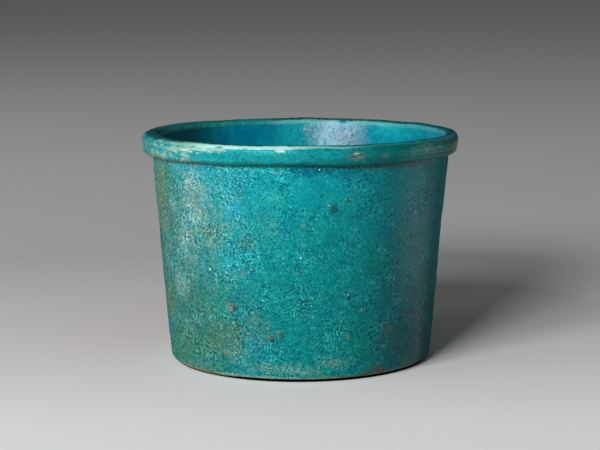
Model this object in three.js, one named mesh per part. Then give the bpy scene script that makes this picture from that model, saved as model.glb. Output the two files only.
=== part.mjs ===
// A glazed faience cup: a tapered wall on a flat foot, with a rolled collar round its rim.
// It is built up as a potter builds it. A base disc carries the wall, a coil rolled round the top of
// the wall makes the collar, and one coat of glaze covers all of it but the foot.
// Millimetres, +Z up. The origin is the middle of the foot, on the table.

import * as THREE from "three";

// Overall sizes, measured over the glaze
const height = 82.6;
const rimDiameter = 115;
const footDiameter = 94.7; // the wall's line carried down to the table

// Wall and floor, measured over the glaze
const floorThickness = 6;
const wallAtFloor = 5.2;
const wallAtNeck = 2.9; // just under the collar

// Collar
const collarHeight = 7; // from the crown down to the crease
const collarProjection = 3.55; // how far it stands out from the wall under it
const collarLean = 0.6; // how far its face draws in on the way down
const collarBandHeight = 2.9; // from the crown down to where the face starts to draw in

// Roundings
const innerLipRound = 2;
const outerLipRound = 2.4;
const collarBandRound = 6;
const collarEdgeRound = 1.9;
const creaseRound = 1; // glaze pooled in the crease under the collar
const coveRound = 5; // inside, where the floor turns up into the wall
const footRound = 1.6;

// Glaze
const glazeThickness = 0.4;
const bareBand = 0.4; // bare wall between the foot's rounding and the glaze

// Facets
const facetsRound = 64;
const arcSteps = 4;
const lipSteps = 5;
const bandSteps = 2;
const sharpSteps = 0;

const rimRadius = rimDiameter / 2;
const footRadius = footDiameter / 2;
const creaseHeight = height - collarHeight;
const neckRadius = rimRadius - collarProjection;

const point = (radius, level) => new THREE.Vector2(radius, level);

// Where the line through two points passes a level
function radiusAt(from, to, level) {
  return THREE.MathUtils.mapLinear(level, from.y, to.y, from.x, to.x);
}

// The cup's half section over the glaze, as corners that run from the middle of the floor up the
// inside, over the lip and down the outside to the middle of the foot. The cup lies to the right of
// this path. Each corner has the rounding that the glaze shows and the one that the body has.
function sectionCorners() {
  const foot = point(footRadius, 0);
  const crease = point(neckRadius, creaseHeight);
  const well = point(radiusAt(foot, crease, floorThickness) - wallAtFloor, floorThickness);
  const neckInside = point(neckRadius - wallAtNeck, creaseHeight);
  const mouth = point(radiusAt(well, neckInside, height), height);
  const bandLevel = height - collarBandHeight;
  return [
    { at: point(0, floorThickness), round: 0, bodyRound: 0, steps: sharpSteps },
    { at: well, round: coveRound, bodyRound: coveRound + glazeThickness, steps: arcSteps },
    { at: mouth, round: innerLipRound, bodyRound: innerLipRound - glazeThickness, steps: lipSteps },
    {
      at: point(rimRadius, height),
      round: outerLipRound,
      bodyRound: outerLipRound - glazeThickness,
      steps: lipSteps,
    },
    {
      at: point(rimRadius, bandLevel),
      round: collarBandRound,
      bodyRound: collarBandRound - glazeThickness,
      steps: bandSteps,
    },
    {
      at: point(rimRadius - collarLean, creaseHeight),
      round: collarEdgeRound,
      bodyRound: collarEdgeRound - glazeThickness,
      steps: arcSteps,
    },
    { at: crease, round: creaseRound, bodyRound: 0, steps: arcSteps },
    { at: foot, round: 0, bodyRound: footRound, steps: arcSteps },
    { at: point(0, 0), round: 0, bodyRound: 0, steps: sharpSteps },
  ];
}

// A side of the section, moved into the cup by a depth
function insetSide(from, to, depth) {
  const along = to.clone().sub(from).normalize();
  const inward = point(along.y, -along.x).multiplyScalar(depth);
  return { from: from.clone().add(inward), to: to.clone().add(inward) };
}

// The point where the lines of two sides cross
function crossing(one, other) {
  const along = one.to.clone().sub(one.from);
  const across = other.to.clone().sub(other.from);
  const share = other.from.clone().sub(one.from).cross(across) / along.cross(across);
  return one.from.clone().addScaledVector(along, share);
}

// The corners of the bare body: every glazed side goes in by the glaze, while the foot and the axis
// stay where they are.
function bodyCorners(corners) {
  const axis = { from: point(0, 0), to: point(0, height) };
  const lastGlazed = corners.length - 3;
  const sides = corners.slice(1).map((corner, k) =>
    insetSide(corners[k].at, corner.at, k <= lastGlazed ? glazeThickness : 0),
  );
  const ring = [axis, ...sides, axis];
  return corners.map((corner, k) => ({
    at: crossing(ring[k], ring[k + 1]),
    round: Math.max(corner.bodyRound, 0),
    steps: corner.steps,
  }));
}

// How far a rounding reaches along the two sides of its corner
function reachOf(corners, k) {
  if (corners[k].round === 0) {
    return 0;
  }
  const back = corners[k - 1].at.clone().sub(corners[k].at).normalize();
  const ahead = corners[k + 1].at.clone().sub(corners[k].at).normalize();
  return corners[k].round / Math.tan(Math.acos(back.dot(ahead)) / 2);
}

// Each corner as an arc of points. Two roundings that want more than the side between them give way
// to each other.
function roundedArcs(corners) {
  const reaches = corners.map((corner, k) => reachOf(corners, k));
  const ease = corners.slice(1).map((corner, k) => {
    const length = corner.at.distanceTo(corners[k].at);
    return Math.min(1, length / Math.max(reaches[k] + reaches[k + 1], length));
  });
  return corners.map((corner, k) => {
    if (reaches[k] === 0) {
      return [corner.at];
    }
    const reach = reaches[k] * Math.min(ease[k - 1], ease[k]);
    const back = corners[k - 1].at.clone().sub(corner.at).normalize();
    const ahead = corners[k + 1].at.clone().sub(corner.at).normalize();
    const start = corner.at.clone().addScaledVector(back, reach);
    const half = Math.acos(back.dot(ahead)) / 2;
    const middle = back.clone().add(ahead).normalize();
    const centre = corner.at.clone().addScaledVector(middle, reach / Math.cos(half));
    const turn = Math.sign(back.cross(ahead)) * (Math.PI - 2 * half);
    return Array.from({ length: corner.steps + 1 }, (unused, step) =>
      start.clone().rotateAround(centre, -turn * (step / corner.steps)),
    );
  });
}

// The glaze's own face and the face of the body under it, corner by corner
const corners = sectionCorners();
const [floorGlazed, coveGlazed, innerLipGlazed, outerLipGlazed, bandGlazed, edgeGlazed, creaseGlazed] =
  roundedArcs(corners);
const [floor, cove, innerLip, outerLip, band, edge, crease, foot, underside] = roundedArcs(
  bodyCorners(corners),
);

// The wall stands on the base disc, in a seam that runs level from the middle of the cove to the
// outside. The collar meets the wall in a seam from the crest of the lip to the crease.
const coveMiddle = cove[arcSteps / 2];
const wallOutside = [crease[0], foot[0]];
const seamOutside = point(radiusAt(...wallOutside, coveMiddle.y), coveMiddle.y);
const crest = outerLip[0];

// The glaze ends above the foot in a slope as steep as it is thick.
const glazeEndLevel = foot[0].y + bareBand;
const glazeEndBody = point(radiusAt(...wallOutside, glazeEndLevel), glazeEndLevel);
const glazeOutside = [corners[6].at, corners[7].at];
const glazeEndFace = point(
  radiusAt(...glazeOutside, glazeEndLevel + glazeThickness),
  glazeEndLevel + glazeThickness,
);

const paste = new THREE.MeshStandardMaterial({ color: 0xb39a78, roughness: 0.9, metalness: 0 });
const basePaste = paste.clone();
const collarPaste = paste.clone();
const glaze = new THREE.MeshStandardMaterial({ color: 0x12908f, roughness: 0.32, metalness: 0 });

// A half section spun round the cup's axis. Reversed, the path has the solid on its left, as a lathe
// geometry wants it for faces that point out.
function turned(name, section, material) {
  const geometry = new THREE.LatheGeometry(section.toReversed(), facetsRound);
  geometry.rotateX(Math.PI / 2);
  const mesh = new THREE.Mesh(geometry, material);
  mesh.name = name;
  return mesh;
}

function baseDisc() {
  const rising = cove.slice(0, arcSteps / 2 + 1);
  const section = [...floor, ...rising, seamOutside, glazeEndBody, ...foot, ...underside];
  return turned("base_disc", section, basePaste);
}

function wall() {
  const rising = cove.slice(arcSteps / 2);
  const section = [...rising, ...innerLip, crest, ...crease, seamOutside, coveMiddle];
  return turned("wall", section, paste);
}

function rimCollar() {
  const section = [...outerLip, ...band, ...edge, ...crease, crest];
  return turned("rim_collar", section, collarPaste);
}

function glazeCoat() {
  const face = [
    ...floorGlazed,
    ...coveGlazed,
    ...innerLipGlazed,
    ...outerLipGlazed,
    ...bandGlazed,
    ...edgeGlazed,
    ...creaseGlazed,
    glazeEndFace,
  ];
  const against = [
    ...floor,
    ...cove,
    ...innerLip,
    ...outerLip,
    ...band,
    ...edge,
    ...crease,
    seamOutside,
    glazeEndBody,
  ];
  return turned("glaze_coat", [...face, ...against.reverse()], glaze);
}

const cup = new THREE.Group();
cup.add(baseDisc(), wall(), rimCollar(), glazeCoat());

export default cup;
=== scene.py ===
# A glazed faience cup on a pale studio floor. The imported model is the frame, and the paste and glaze
# over it are shaped here as a potter leaves them: a little uneven, pitted, stained and worn.
# Metres, +Z up. The cup's front faces -Y, where the camera stands.

import math

import bmesh
import bpy
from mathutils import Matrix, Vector


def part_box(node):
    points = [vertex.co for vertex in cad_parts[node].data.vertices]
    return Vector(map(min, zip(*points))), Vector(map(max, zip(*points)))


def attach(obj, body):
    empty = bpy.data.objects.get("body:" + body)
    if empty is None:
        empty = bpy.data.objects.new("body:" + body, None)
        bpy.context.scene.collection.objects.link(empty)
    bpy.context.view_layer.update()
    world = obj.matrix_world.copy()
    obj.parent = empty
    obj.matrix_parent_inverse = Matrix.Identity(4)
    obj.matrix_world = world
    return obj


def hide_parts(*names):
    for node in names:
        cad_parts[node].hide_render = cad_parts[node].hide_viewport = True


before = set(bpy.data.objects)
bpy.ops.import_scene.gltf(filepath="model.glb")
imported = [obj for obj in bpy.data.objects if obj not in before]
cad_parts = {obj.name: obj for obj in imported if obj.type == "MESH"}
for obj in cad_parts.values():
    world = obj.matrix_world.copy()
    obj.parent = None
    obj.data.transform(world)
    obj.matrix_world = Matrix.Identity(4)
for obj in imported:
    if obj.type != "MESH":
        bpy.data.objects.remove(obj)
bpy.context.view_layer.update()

MM = 0.001

# Sizes that the frame gives
GLAZE_LOW, GLAZE_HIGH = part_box("glaze_coat")
COLLAR_LOW, COLLAR_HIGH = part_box("rim_collar")
HEIGHT = GLAZE_HIGH.z / MM
RIM_RADIUS = GLAZE_HIGH.x / MM
COAT = HEIGHT - COLLAR_HIGH.z / MM
CREASE_LEVEL = COLLAR_LOW.z / MM - COAT

# The rest of the section, in millimetres
COLLAR_PROJECTION = 3.55
NECK_RADIUS = RIM_RADIUS - COLLAR_PROJECTION
FOOT_RADIUS = 47.35
FLOOR_LEVEL = 6.0
WALL_AT_FLOOR = 5.2
WALL_AT_NECK = 2.9
COLLAR_LEAN = 0.6
COLLAR_BAND = 2.9
BAND_LEVEL = HEIGHT - COLLAR_BAND

# Roundings over the glaze, in millimetres, and the one of the bare foot
COVE_ROUND = 5.0
INNER_LIP_ROUND = 2.0
OUTER_LIP_ROUND = 2.4
BAND_ROUND = 6.0
EDGE_ROUND = 1.9
CREASE_ROUND = 1.0
FOOT_ROUND = 2.2

# Steps of a rounding, and how many of the foot's the glaze covers
ARC_STEPS = 6
HALF_ARC = ARC_STEPS // 2
FOOT_GLAZED = 4

# The middle of the wall's thickness, in millimetres: its radius on the table and its gain per level
WALL_MIDDLE = 45.0
WALL_SLOPE = 0.105

# Mesh cells, in millimetres, and steps round the axis
FINE_CELL = 0.76
INSIDE_CELL = 1.8
COARSE_CELL = 8.0
PASTE_CELL = 2.0
COLLAR_CELL = 1.0
GLAZE_STEPS = 400
PASTE_STEPS = 176
MERGE_GAP = 0.004
SAME_PLACE_DIGITS = 7

# Unevenness of the hand: how far each stretch moves, in millimetres
MOUTH_SHIFT = 0.9
SOFT_EDGE = 0.75
CRISP_EDGE = 0.35
FOOT_GAP = 0.4

# Where it reaches: radii and levels in millimetres, turns in degrees from the front
STEADY_LEVEL = 9
MOUTH_LEVELS = (8, 60)
WALL_HALF = 1.2
MOUTH_FADE = 1.6
EDGE_ABOVE_CREASE = 0.5
EDGE_HALF_HEIGHT = 1.5
EDGE_WITHIN_RIM = 0.7
EDGE_HALF_DEPTH = 1.6
SOFT_TURNS = (-12, 25)
SOFT_END_TURNS = (150, 110)
CRISP_TURNS = (-12, -35)
CRISP_END_TURNS = (-150, -110)
LIFT_TURNS = (-36, -24)
LIFT_END_TURNS = (-110, -130)
LIFT_RADII = (39.5, 41.5)
LIFT_LEVELS = (3.2, 0.2)
ROUGH_DEPTHS = (0.6, 1.8)
ROUGH_LEVELS = (1, 5)

# Sways of the clay along X, Y and Z, in millimetres: the size of their clouds and how far they reach
BROAD_CLOUDS = (31, 27, 23)
BROAD_SWAYS = (0.9, 0.9, 0.7)
CLOSE_CLOUDS = (8.5, 7.5, 9.5)
CLOSE_SWAYS = (0.45, 0.45, 0.35)
DIMPLE_CLOUDS = 2.4
DIMPLE_DEPTH = 0.20

# Pits and bumps: turn in degrees, then level, radius and rise of the middle in millimetres
TAN_PIT = (-29, 26, 1.5, -0.40)
BROWN_PIT = (-27, 20, 0.9, -0.45)
LOW_PIT = (-8.7, 17.5, 1.2, -0.45)
GREY_PIT = (-12.2, 15.8, 1.2, -0.35)
GREEN_BUMP = (11.5, 61.6, 1.6, 0.28)
SMALL_BUMP = (17.3, 63.8, 0.9, 0.28)
COLLAR_SCAR = (19.5, 79.2, 2.1, -0.30)
WHITE_SPECK = (7.1, 74.4, 0.5, 0.20)
MARKS = (TAN_PIT, BROWN_PIT, LOW_PIT, GREY_PIT, GREEN_BUMP, SMALL_BUMP, COLLAR_SCAR, WHITE_SPECK)
MARKS_OUTSIDE = 46
MARK_SPAN = 10
MARK_FADE = (1.25, 0.3)

# Levels between which the wall's finish gives way to the collar's, in millimetres
WALL_FINISH_TOP = 75.2
COLLAR_FINISH = 76.4

# Camera: its place in metres, dip and roll in radians, lens and film in millimetres
CAMERA_ASIDE = 0.000255
CAMERA_BACK = 0.6331
CAMERA_HEIGHT = 0.1409
CAMERA_DIP = 0.1458
CAMERA_ROLL = 0.003
LENS = 104.75
FILM_WIDTH = 36

# Tone of the paper far off, in the middle and close by, each with its share of the nearest slant
PAPER_TONES = ((0.10, 0.98), (0.61, 0.635), (0.97, 1.0))
NEAREST_SLANT = 0.27

# Brightness of the paper for the camera, as plain paper and in reflections
PAPER_GAIN = 1.49
PAPER_PLAIN = 0.77
PAPER_MIRRORED = 1.3

# Floor, in metres: where its warm tint is full and ends, where the painted shadow under the foot ends,
# its side
NEAR_CUP = 0.058
CLEAR_OF_CUP = 0.150
UNDER_FOOT = 0.0457
UNDER_FOOT_END = 0.0463
FLOOR_SIDE = 20

# Lamps: what they aim at and how far off they stand, in metres, and the strength of the even light
LAMP_AIM = Vector((0, 0, 0.04))
LAMP_DISTANCE = 2.2
EVEN_LIGHT = 0.06


# Section drawing

def point(radius, level):
    return Vector((radius, 0, level))


def radius_at(lower, upper, level):
    """Radius where the line through two points passes a level."""
    share = (level - lower.z) / (upper.z - lower.z)
    return lower.x + share * (upper.x - lower.x)


def section_corners():
    """Corners of the half section over the glaze, with the rounding of the glaze and of the paste."""
    foot = point(FOOT_RADIUS, 0)
    crease = point(NECK_RADIUS, CREASE_LEVEL)
    well = point(radius_at(foot, crease, FLOOR_LEVEL) - WALL_AT_FLOOR, FLOOR_LEVEL)
    neck_inside = point(NECK_RADIUS - WALL_AT_NECK, CREASE_LEVEL)
    mouth_edge = point(radius_at(well, neck_inside, HEIGHT), HEIGHT)
    collar_edge = point(RIM_RADIUS - COLLAR_LEAN, CREASE_LEVEL)
    return [
        (point(0, FLOOR_LEVEL), 0, 0),
        (well, COVE_ROUND, COVE_ROUND + COAT),
        (mouth_edge, INNER_LIP_ROUND, INNER_LIP_ROUND - COAT),
        (point(RIM_RADIUS, HEIGHT), OUTER_LIP_ROUND, OUTER_LIP_ROUND - COAT),
        (point(RIM_RADIUS, BAND_LEVEL), BAND_ROUND, BAND_ROUND - COAT),
        (collar_edge, EDGE_ROUND, EDGE_ROUND - COAT),
        (crease, CREASE_ROUND, 0),
        (foot, 0, FOOT_ROUND),
        (point(0, 0), 0, 0),
    ]


def inset(start, end, depth):
    """A side of the section moved into the cup."""
    along = (end - start).normalized()
    inward = Vector((along.z, 0, -along.x)) * depth
    return start + inward, end + inward


def crossing(one, other):
    """The point where the lines of two sides cross."""
    along = one[1] - one[0]
    across = other[1] - other[0]
    gap = other[0] - one[0]
    share = (gap.x * across.z - gap.z * across.x) / (along.x * across.z - along.z * across.x)
    return one[0] + along * share


def paste_corners(corners):
    """The same corners on the bare paste, one coat of glaze deeper, with the foot left in place."""
    axis = (point(0, 0), point(0, HEIGHT))
    last_glazed = len(corners) - 3
    sides = [axis]
    for k in range(1, len(corners)):
        depth = COAT if k - 1 <= last_glazed else 0
        sides.append(inset(corners[k - 1][0], corners[k][0], depth))
    sides.append(axis)
    return [(crossing(sides[k], sides[k + 1]), corners[k][2]) for k in range(len(corners))]


def half_angle(before, corner, after):
    """Half of the angle between a corner's two sides."""
    return (before - corner).angle(after - corner) / 2


def arc(before, corner, after, reach, steps):
    """The points of one corner, rounded so that it reaches that far along its two sides."""
    if reach <= 0:
        return [corner]
    back = (before - corner).normalized()
    ahead = (after - corner).normalized()
    half = half_angle(before, corner, after)
    middle = corner + (back + ahead).normalized() * reach / math.cos(half)
    start = corner + back * reach - middle
    end = corner + ahead * reach - middle
    unit = start.normalized()
    other = end.normalized()
    return [middle + unit.slerp(other, k / steps) * start.length for k in range(steps + 1)]


def rounded(corners, steps):
    """Every corner of (place, rounding) as its list of points. Two roundings that want more than the
    side between them give way to each other."""
    places = [place for place, rounding in corners]
    count = len(places)
    reaches = []
    for k, (place, rounding) in enumerate(corners):
        half = half_angle(places[k - 1], place, places[(k + 1) % count]) if rounding > 0 else 1
        reaches.append(rounding / math.tan(half))
    eases = []
    for k in range(count - 1):
        length = (places[k + 1] - places[k]).length
        eases.append(min(1, length / max(reaches[k] + reaches[k + 1], length)))
    arcs = []
    for k, place in enumerate(places):
        ease = min(eases[k - 1] if k > 0 else 1, eases[k] if k < count - 1 else 1)
        arcs.append(arc(places[k - 1], place, places[(k + 1) % count], reaches[k] * ease, steps))
    return arcs


# Modelling steps

def only(piece):
    bpy.ops.object.select_all(action="DESELECT")
    piece.select_set(True)
    bpy.context.view_layer.objects.active = piece


def start_section(name, place):
    """A new piece that is one vertex, in edit mode."""
    bpy.ops.object.select_all(action="DESELECT")
    bpy.ops.mesh.primitive_plane_add(size=2 * MM, location=(0, 0, 0))
    piece = bpy.context.object
    piece.name = name
    piece.data.name = name
    bpy.ops.object.mode_set(mode="EDIT")
    bpy.ops.mesh.select_all(action="SELECT")
    bpy.ops.mesh.merge(type="CENTER")
    bpy.ops.transform.translate(value=place * MM)
    return piece


def draw(piece, points, here, cell):
    """Extrudes the section's end through the points, then cuts the new sides into cells."""
    drawn = len(bmesh.from_edit_mesh(piece.data).edges)
    for place in points:
        bpy.ops.mesh.extrude_region_move(TRANSFORM_OT_translate={"value": (place - here) * MM})
        here = place
    sides = bmesh.from_edit_mesh(piece.data)
    sides.edges.ensure_lookup_table()
    cuts = {}
    for side in sides.edges[drawn:]:
        number = int(side.calc_length() / (cell * MM))
        cuts.setdefault(number, []).append(tuple(end.co.copy() for end in side.verts))
    for number, places in cuts.items():
        if number > 0:
            cut_sides(piece, places, number)
    select_nearest(piece, here * MM)
    return here


def known_by(ends):
    """A side's two ends, rounded and in order, by which it is found again."""
    return tuple(sorted(tuple(round(part, SAME_PLACE_DIGITS) for part in end) for end in ends))


def cut_sides(piece, places, number):
    """Subdivides the sides whose two ends lie at the given places."""
    bpy.ops.mesh.select_all(action="DESELECT")
    sides = bmesh.from_edit_mesh(piece.data)
    wanted = {known_by(ends) for ends in places}
    for side in sides.edges:
        if known_by([end.co for end in side.verts]) in wanted:
            side.select_set(True)
    bmesh.update_edit_mesh(piece.data)
    bpy.ops.mesh.subdivide(number_cuts=number)


def select_nearest(piece, place):
    bpy.ops.mesh.select_all(action="DESELECT")
    mesh = bmesh.from_edit_mesh(piece.data)
    nearest = min(mesh.verts, key=lambda vertex: (vertex.co - place).length_squared)
    nearest.select_set(True)
    mesh.select_flush_mode()
    bmesh.update_edit_mesh(piece.data)


def spin_round(piece, steps):
    """Turns the section once round the axis and closes the seam and the poles."""
    bpy.ops.object.mode_set(mode="OBJECT")
    bpy.ops.object.modifier_add(type="SCREW")
    turn = piece.modifiers[-1]
    turn.steps = steps
    turn.render_steps = steps
    turn.use_merge_vertices = True
    turn.merge_threshold = MERGE_GAP * MM
    bpy.ops.object.modifier_apply(modifier=turn.name)
    bpy.ops.object.mode_set(mode="EDIT")
    bpy.ops.mesh.select_all(action="SELECT")
    bpy.ops.mesh.remove_doubles(threshold=MERGE_GAP * MM)
    bpy.ops.mesh.normals_make_consistent(inside=False)
    bpy.ops.object.mode_set(mode="OBJECT")
    bpy.ops.object.shade_smooth()
    return piece


def turned(name, runs, steps):
    """A closed section, drawn in runs of (points, cell), turned into a piece."""
    here = runs[0][0][0]
    piece = start_section(name, here)
    for number, (points, cell) in enumerate(runs):
        here = draw(piece, points[1:] if number == 0 else points, here, cell)
    return spin_round(piece, steps)


# The cup's own lines

CORNERS = section_corners()
GLAZE_ARCS = rounded([(place, rounding) for place, rounding, paste in CORNERS], ARC_STEPS)
PASTE = rounded(paste_corners(CORNERS), ARC_STEPS)
(FLOOR, COVE, INNER_LIP, OUTER_LIP, BAND, EDGE, CREASE, FOOT, UNDERSIDE) = PASTE
CREST = OUTER_LIP[0]
COVE_MIDDLE = COVE[HALF_ARC]
SEAM_OUTSIDE = point(radius_at(FOOT[0], CREASE[0], COVE_MIDDLE.z), COVE_MIDDLE.z)


def flat(arcs):
    return [place for one in arcs for place in one]


def glaze_over_foot():
    """The glaze thins out as it runs over the rounding of the foot."""
    places = []
    middle = FOOT[0] - Vector((FOOT_ROUND, 0, 0))
    for k, place in enumerate(FOOT[:FOOT_GLAZED]):
        outward = (place - middle).normalized()
        places.append(place + outward * COAT * (1 - k / FOOT_GLAZED))
    return places


def make_glaze():
    """The coat as one closed skin: fine outside, coarser inside, and coarse where it lies on paste."""
    front_inside = flat(GLAZE_ARCS[:3])
    front_outside = flat(GLAZE_ARCS[3:7]) + glaze_over_foot()
    back_arcs = [FLOOR, COVE[::2], INNER_LIP[::2], OUTER_LIP[::2], BAND[::3], EDGE[::2], CREASE]
    back = list(reversed(flat(back_arcs + [FOOT[:FOOT_GLAZED]])))
    runs = [(front_inside, INSIDE_CELL), (front_outside, FINE_CELL), (back, COARSE_CELL)]
    return turned("glaze", runs, GLAZE_STEPS)


def make_base():
    rising = COVE[:HALF_ARC + 1]
    section = flat([FLOOR, rising, [SEAM_OUTSIDE], FOOT, UNDERSIDE])
    return turned("base_paste", [(section, PASTE_CELL)], PASTE_STEPS)


def make_wall():
    rising = COVE[HALF_ARC:]
    section = flat([rising, INNER_LIP, [CREST], CREASE, [SEAM_OUTSIDE, COVE_MIDDLE]])
    return turned("wall_paste", [(section, PASTE_CELL)], PASTE_STEPS)


def make_collar():
    section = flat([OUTER_LIP, BAND, EDGE, CREASE, [CREST]])
    return turned("collar_paste", [(section, COLLAR_CELL)], PASTE_STEPS)


# Unevenness of the hand

def smooth(value, low, high):
    """A soft step from 0 at low to 1 at high."""
    share = min(1, max(0, (value - low) / (high - low)))
    return share * share * (3 - 2 * share)


def turn_of(place):
    """Turn of a place round the cup, in degrees from the front towards +X."""
    return math.degrees(math.atan2(place.x, -place.y))


def weigh(piece, name, weight):
    """A vertex group whose weights come from each vertex's radius, level and turn."""
    group = piece.vertex_groups.new(name=name)
    for vertex in piece.data.vertices:
        place = vertex.co / MM
        share = weight(math.hypot(place.x, place.y), place.z, turn_of(place))
        if share > 0:
            group.add([vertex.index], share, "REPLACE")
    return name


def clouds(name, size):
    texture = bpy.data.textures.new(name, "CLOUDS")
    texture.noise_scale = size * MM
    texture.noise_depth = 1
    return texture


def sway(piece, direction, texture, amount, group):
    """One soft sway of the clay along an axis, the same for every piece that passes through there."""
    modifier = piece.modifiers.new("sway", "DISPLACE")
    modifier.direction = direction
    modifier.texture_coords = "LOCAL"
    modifier.texture = texture
    modifier.strength = amount * MM
    modifier.mid_level = 0.5
    modifier.vertex_group = group
    bpy.ops.object.modifier_apply(modifier=modifier.name)


def push(piece, direction, amount, group):
    """Moves a weighted stretch of the surface along an axis or along its own normals."""
    modifier = piece.modifiers.new("push", "DISPLACE")
    modifier.direction = direction
    modifier.strength = amount * MM
    modifier.mid_level = 0
    modifier.vertex_group = group
    bpy.ops.object.modifier_apply(modifier=modifier.name)


def above_foot(radius, level, turn):
    """Full weight above the foot, none on the table, so that the cup still stands flat."""
    return smooth(level, 0, STEADY_LEVEL)


def mouth(radius, level, turn):
    """The inside of the cup, which opens a little off the middle, most of all at the lip."""
    wall_middle = WALL_MIDDLE + WALL_SLOPE * level
    return smooth(wall_middle + WALL_HALF - radius, 0, MOUTH_FADE) * smooth(level, *MOUTH_LEVELS)


def lower_edge(radius, level):
    """The collar's lower edge, strongest on its outermost corner."""
    above = (level - CREASE_LEVEL - EDGE_ABOVE_CREASE) / EDGE_HALF_HEIGHT
    aside = (radius - RIM_RADIUS + EDGE_WITHIN_RIM) / EDGE_HALF_DEPTH
    off = math.hypot(above, aside)
    return max(0, 1 - off * off)


def soft_edge(radius, level, turn):
    """At the front and right, wear has taken the collar's lower edge back."""
    return lower_edge(radius, level) * smooth(turn, *SOFT_TURNS) * smooth(turn, *SOFT_END_TURNS)


def crisp_edge(radius, level, turn):
    """At the left the collar's lower edge stands out."""
    return lower_edge(radius, level) * smooth(turn, *CRISP_TURNS) * smooth(turn, *CRISP_END_TURNS)


def lifted_foot(radius, level, turn):
    """The foot's outer edge, which stands off the table everywhere but at the left."""
    round_it = smooth(turn, *LIFT_TURNS) + smooth(turn, *LIFT_END_TURNS)
    return min(1, round_it) * smooth(radius, *LIFT_RADII) * smooth(level, *LIFT_LEVELS)


def remember(piece):
    """Keeps every vertex's place as it was turned, which the finish reads."""
    places = piece.data.attributes.new("as_turned", "FLOAT_VECTOR", "POINT")
    places.data.foreach_set("vector", [part for vertex in piece.data.vertices for part in vertex.co])


def near_marks(rising):
    """Weights for the marks that stand out, or for the ones that lie in."""
    chosen = [mark for mark in MARKS if (mark[-1] > 0) == rising]
    deepest = max(abs(rise) for turn, level, size, rise in chosen)

    def weight(radius, level, turn):
        share = 0
        for at_turn, at_level, size, rise in chosen:
            near = abs(level - at_level) < 2 * size and abs(turn - at_turn) < MARK_SPAN
            if near and radius > MARKS_OUTSIDE:
                aside = math.radians(turn - at_turn) * radius
                off = math.hypot(aside, level - at_level) / size
                share = max(share, smooth(off, *MARK_FADE) * abs(rise) / deepest)
        return share

    return weight, deepest


def outside_glaze(radius, level, turn):
    """The outer face of the coat, above the foot."""
    wall_middle = WALL_MIDDLE + WALL_SLOPE * level
    return smooth(radius - wall_middle, *ROUGH_DEPTHS) * smooth(level, *ROUGH_LEVELS)


def hand_formed(pieces):
    """Gives all pieces the same unevenness, so that they still meet face to face."""
    broad = [clouds("broad_" + axis, size) for axis, size in zip("xyz", BROAD_CLOUDS)]
    close = [clouds("close_" + axis, size) for axis, size in zip("xyz", CLOSE_CLOUDS)]
    bumps, bump_height = near_marks(True)
    pits, pit_depth = near_marks(False)
    for piece in pieces:
        remember(piece)
        only(piece)
        push(piece, "X", MOUTH_SHIFT, weigh(piece, "mouth", mouth))
        push(piece, "NORMAL", -SOFT_EDGE, weigh(piece, "soft_edge", soft_edge))
        push(piece, "NORMAL", CRISP_EDGE, weigh(piece, "crisp_edge", crisp_edge))
        push(piece, "NORMAL", bump_height, weigh(piece, "bumps", bumps))
        push(piece, "NORMAL", -pit_depth, weigh(piece, "pits", pits))
        push(piece, "Z", FOOT_GAP, weigh(piece, "lifted_foot", lifted_foot))
        lifted = weigh(piece, "above_foot", above_foot)
        for axis, texture, reach in zip("XYZ", broad, BROAD_SWAYS):
            sway(piece, axis, texture, reach, lifted)
        for axis, texture, reach in zip("XYZ", close, CLOSE_SWAYS):
            sway(piece, axis, texture, reach, lifted)


def roughened(glaze):
    """The glaze's outside follows the coarse paste: shallow dimples about 2 mm across."""
    only(glaze)
    outside = weigh(glaze, "outside", outside_glaze)
    sway(glaze, "NORMAL", clouds("dimples", DIMPLE_CLOUDS), DIMPLE_DEPTH, outside)


# Materials

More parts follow.
